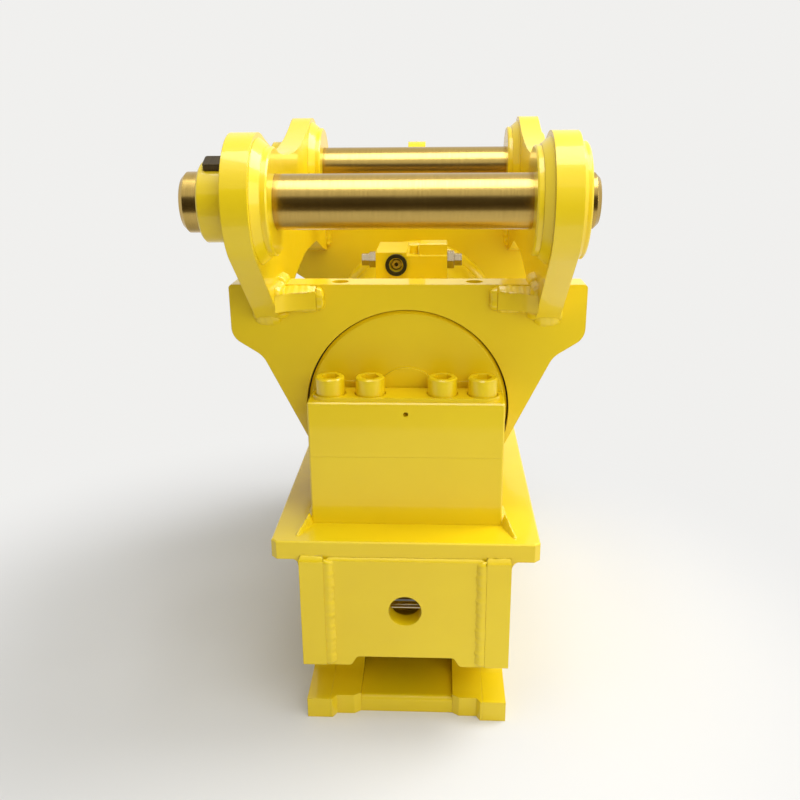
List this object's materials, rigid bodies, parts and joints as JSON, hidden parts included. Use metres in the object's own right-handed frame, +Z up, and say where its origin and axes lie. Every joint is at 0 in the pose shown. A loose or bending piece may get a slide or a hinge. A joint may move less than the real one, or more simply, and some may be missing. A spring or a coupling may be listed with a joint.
{
  "type": "tilting quick coupler",
  "caption": "Excavator quick coupler with a rotary tilt drive between an eared head and a carrier with a front jaw, a rear saddle and a hydraulic wedge latch.",
  "frame": {"origin": "centre of the front jaw's pin seat, midway between the carrier's side plates", "axes": "+X to the right along the jaw's pin, +Y from the jaw's mouth to the rear along the tilt axis, +Z up"},
  "size_m": [0.383, 0.624, 0.6234],
  "materials": {
    "yellow_paint": "satin",
    "machined_steel": "satin",
    "pin_steel": "satin",
    "bright_rod": "polished",
    "bronze": "satin",
    "seal_rubber": "matte",
    "dark_fastener": "satin",
    "port_black": "satin",
    "plated_steel": "satin"
  },
  "bodies": {
    "carrier": {"carrier_top_plate": "yellow_paint", "left_side_plate": "yellow_paint", "right_side_plate": "yellow_paint", "front_cross_plate": "yellow_paint", "saddle_cross_plate": "yellow_paint", "rear_cross_plate": "yellow_paint", "cross_rod": "bright_rod", "cylinder_bracket": "yellow_paint", "left_jaw_pad": "yellow_paint", "right_jaw_pad": "yellow_paint", "jaw_floor": "yellow_paint", "left_latch_rail": "yellow_paint", "right_latch_rail": "yellow_paint", "front_block": "yellow_paint", "rear_block": "yellow_paint", "front_block_cap": "yellow_paint", "rear_block_cap": "yellow_paint", "front_block_screws": "yellow_paint", "rear_block_screws": "yellow_paint", "tilt_shaft": "machined_steel", "rear_end_cap": "machined_steel", "end_cap_lock_pins": "machined_steel", "latch_barrel": "yellow_paint", "latch_gland": "machined_steel", "latch_ports": "plated_steel"},
    "head": {"front_hanger_plate": "yellow_paint", "rear_hanger_plate": "yellow_paint", "left_ear": "yellow_paint", "right_ear": "yellow_paint", "left_gusset": "yellow_paint", "right_gusset": "yellow_paint", "housing_tube": "yellow_paint", "ring_gear": "machined_steel", "front_bush": "bronze", "rear_bush": "bronze", "thrust_rings": "bronze", "shaft_seals": "seal_rubber", "dust_seals": "seal_rubber", "front_pin": "pin_steel", "rear_pin": "pin_steel", "front_left_boss": "yellow_paint", "front_right_boss": "yellow_paint", "rear_left_boss": "yellow_paint", "rear_right_boss": "yellow_paint", "front_outer_boss": "yellow_paint", "rear_outer_boss": "yellow_paint", "front_collar": "yellow_paint", "rear_collar": "yellow_paint", "cross_bolts": "dark_fastener", "cross_nuts": "dark_fastener", "lifting_lug": "yellow_paint", "valve_block": "yellow_paint", "valve_port": "port_black", "valve_adjusters": "plated_steel"},
    "piston": {"piston_sleeve": "machined_steel", "piston_seals": "seal_rubber"},
    "latch": {"latch_wedge": "yellow_paint", "latch_rod": "bright_rod", "latch_piston": "machined_steel", "latch_rod_pin": "pin_steel"}
  },
  "joints": [
    {"name": "tilt", "type": "hinge", "parent": "carrier", "child": "head", "pos_m": [0, 0.24125, 0.2826], "axis": [0, 1, 0], "range_deg": [-60, 60]},
    {"name": "piston_stroke", "type": "slide", "parent": "head", "child": "piston", "axis": [0, 1, 0], "range_m": [-0.0501, 0.0501]},
    {"name": "latch_travel", "type": "slide", "parent": "carrier", "child": "latch", "axis": [0, 1, 0], "range_m": [-0.038, 0]}
  ],
  "couplings": [
    {"joint": "piston_stroke", "follows": "tilt", "m_per_rad": 0.047746}
  ]
}
